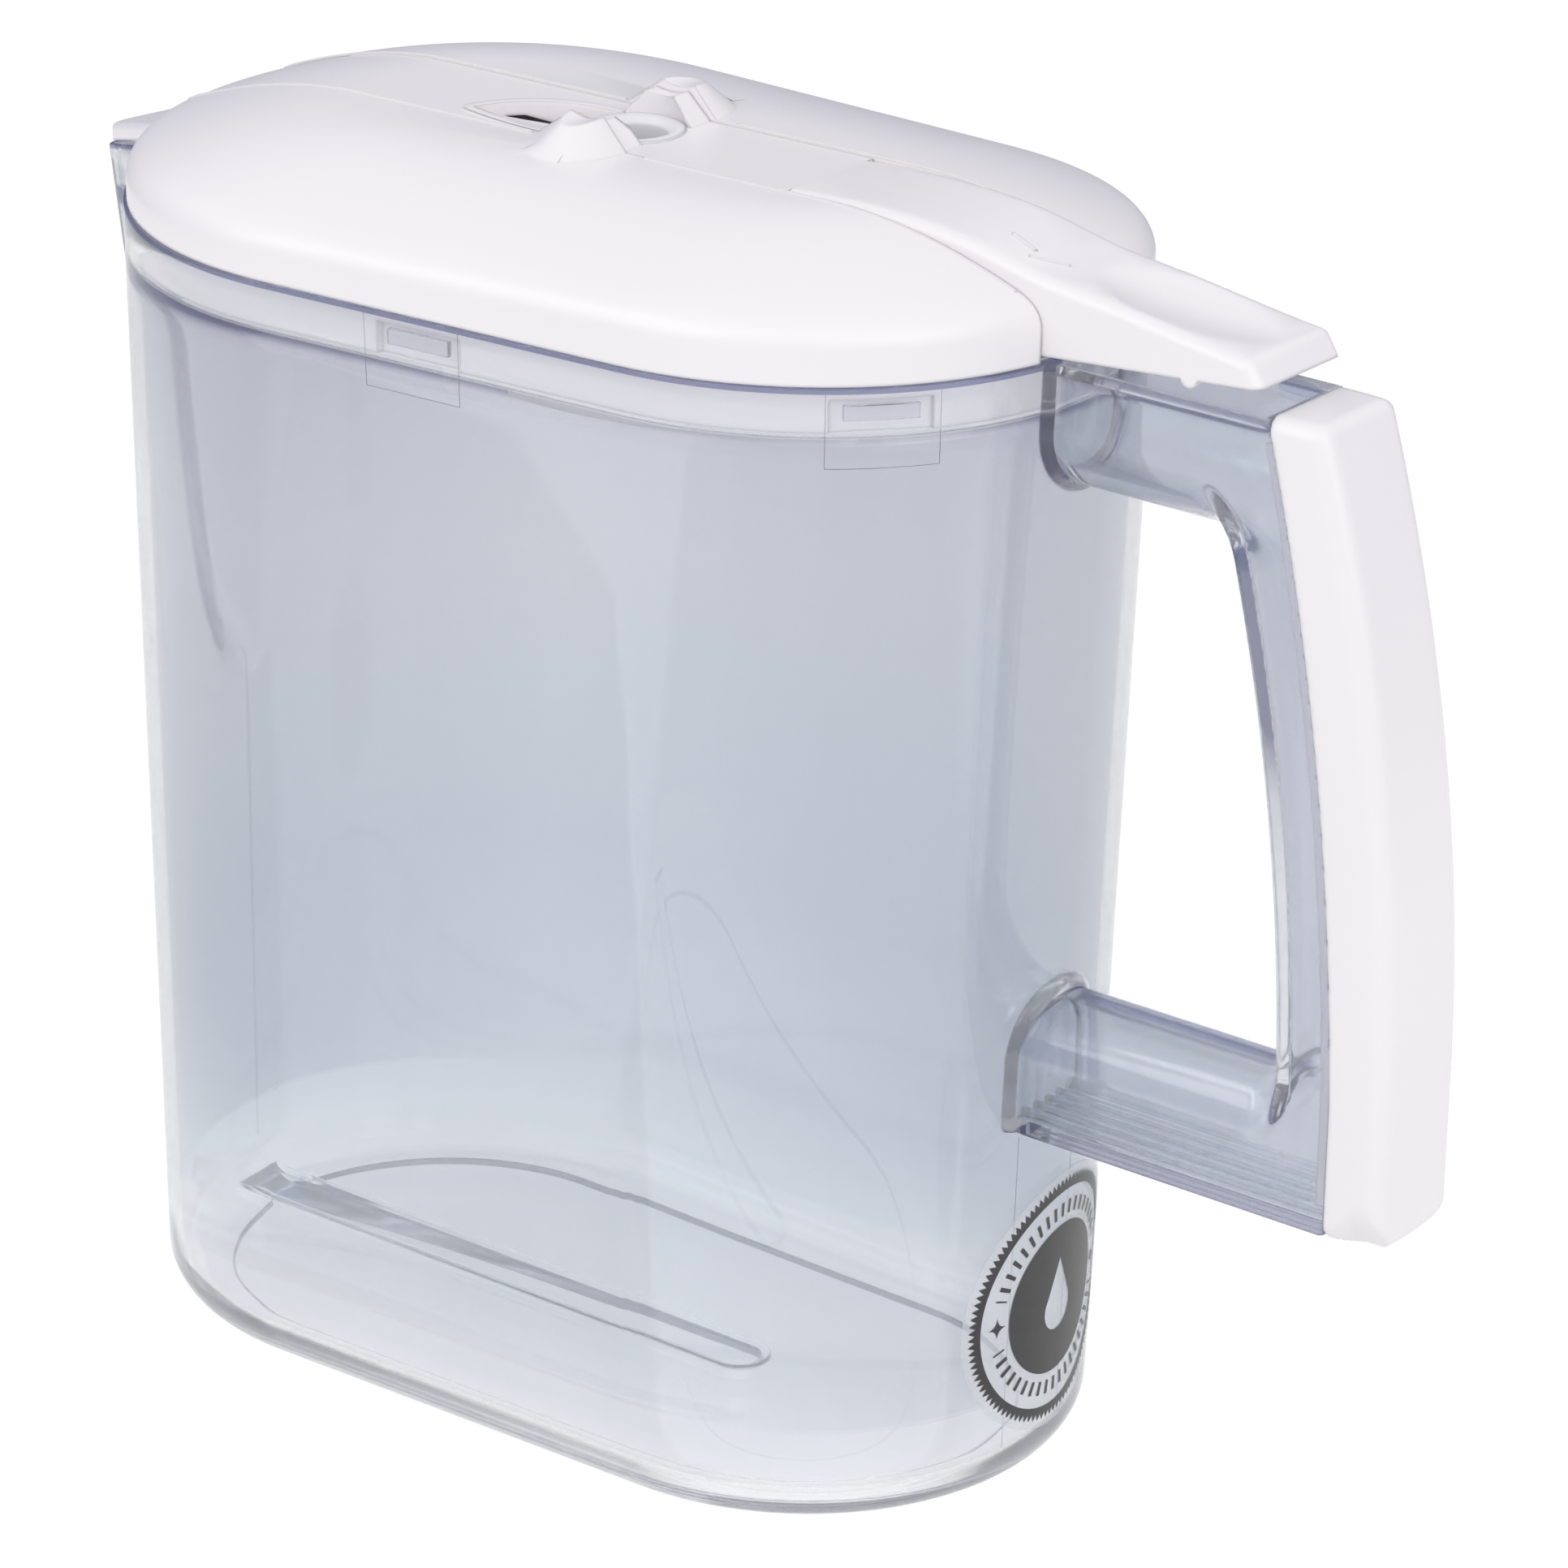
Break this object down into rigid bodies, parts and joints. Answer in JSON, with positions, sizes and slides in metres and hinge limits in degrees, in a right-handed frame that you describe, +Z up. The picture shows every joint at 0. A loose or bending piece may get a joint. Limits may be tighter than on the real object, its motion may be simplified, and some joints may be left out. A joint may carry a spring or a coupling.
{
  "type": "water distiller collecting jug",
  "caption": "Clear collecting jug of a water distiller, with a white lift-off lid, a tilting pouring lever over the spout, a drip inlet above a filter cup, and a handle with a white cover.",
  "frame": {"origin": "centre of the jug's base on the plane that its foot stands on", "axes": "+X towards the handle, so the spout is at -X; +Z up; +Y across the jug"},
  "size_m": [0.3, 0.1306, 0.2455],
  "materials": {
    "clear_plastic": "clear, polished, faint blue",
    "white_plastic": "smooth semi-gloss",
    "insert_plastic": "smooth",
    "label_film": "printed film",
    "pin_steel": "ground",
    "seal_rubber": "soft",
    "carbon_bag": "woven bag over dark grains"
  },
  "bodies": {
    "jug": {"jug_body": "clear_plastic", "grip_cover": "white_plastic", "round_label": "label_film"},
    "lid": {"lid_shell": "white_plastic", "hinge_pin": "pin_steel", "filter_cup": "insert_plastic", "filter_cap": "insert_plastic", "cup_seal": "seal_rubber", "carbon_pack": "carbon_bag"},
    "lever": {"pour_lever": "white_plastic", "inlet_insert": "insert_plastic"}
  },
  "joints": [
    {"name": "lid_lift", "type": "slide", "parent": "jug", "child": "lid", "axis": [0, 0, 1], "range_m": [0, 0.06]},
    {"name": "lever_tilt", "type": "hinge", "parent": "lid", "child": "lever", "pos_m": [0.09, 0, 0.226], "axis": [0, 1, 0], "range_deg": [0, 3.2]}
  ]
}
